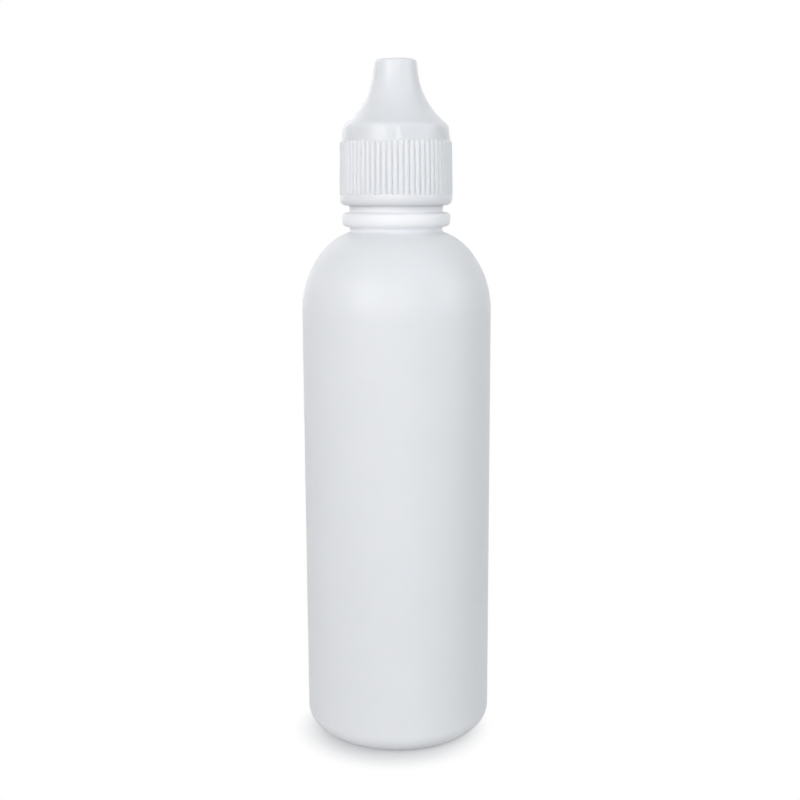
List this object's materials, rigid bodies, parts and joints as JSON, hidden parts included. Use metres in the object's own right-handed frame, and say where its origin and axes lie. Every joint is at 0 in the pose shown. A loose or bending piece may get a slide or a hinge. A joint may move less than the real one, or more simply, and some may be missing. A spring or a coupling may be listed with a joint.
{
  "type": "dropper bottle",
  "caption": "Plain squeeze bottle with a pressed-in drip nozzle and a ribbed screw cap that narrows to a long nose.",
  "frame": {"origin": "centre of the ring that the bottle stands on, at the bottom of the part", "axes": "+Z along the bottle's axis, from the base towards the cap's nose; +X and +Y across it, with the base seam along X"},
  "size_m": [0.04, 0.04, 0.1438],
  "materials": {
    "bottle_plastic": "satin low-density polyethylene, slightly translucent",
    "insert_plastic": "smooth moulded polyethylene",
    "cap_plastic": "smooth moulded polypropylene"
  },
  "bodies": {
    "bottle": {"bottle": "bottle_plastic"},
    "dropper_insert": {"dropper_insert": "insert_plastic"},
    "cap": {"cap": "cap_plastic"}
  },
  "joints": [
    {"name": "cap_turn", "type": "hinge", "parent": "bottle", "child": "dropper_insert", "pos_m": [0, 0, 0.12], "axis": [0, 0, 1], "range_deg": [0, 3240]},
    {"name": "cap_lift", "type": "slide", "parent": "dropper_insert", "child": "cap", "axis": [0, 0, 1], "range_m": [0, 0.0286]}
  ],
  "couplings": [
    {"joint": "cap_lift", "follows": "cap_turn", "m_per_rad": 0.00050532}
  ]
}
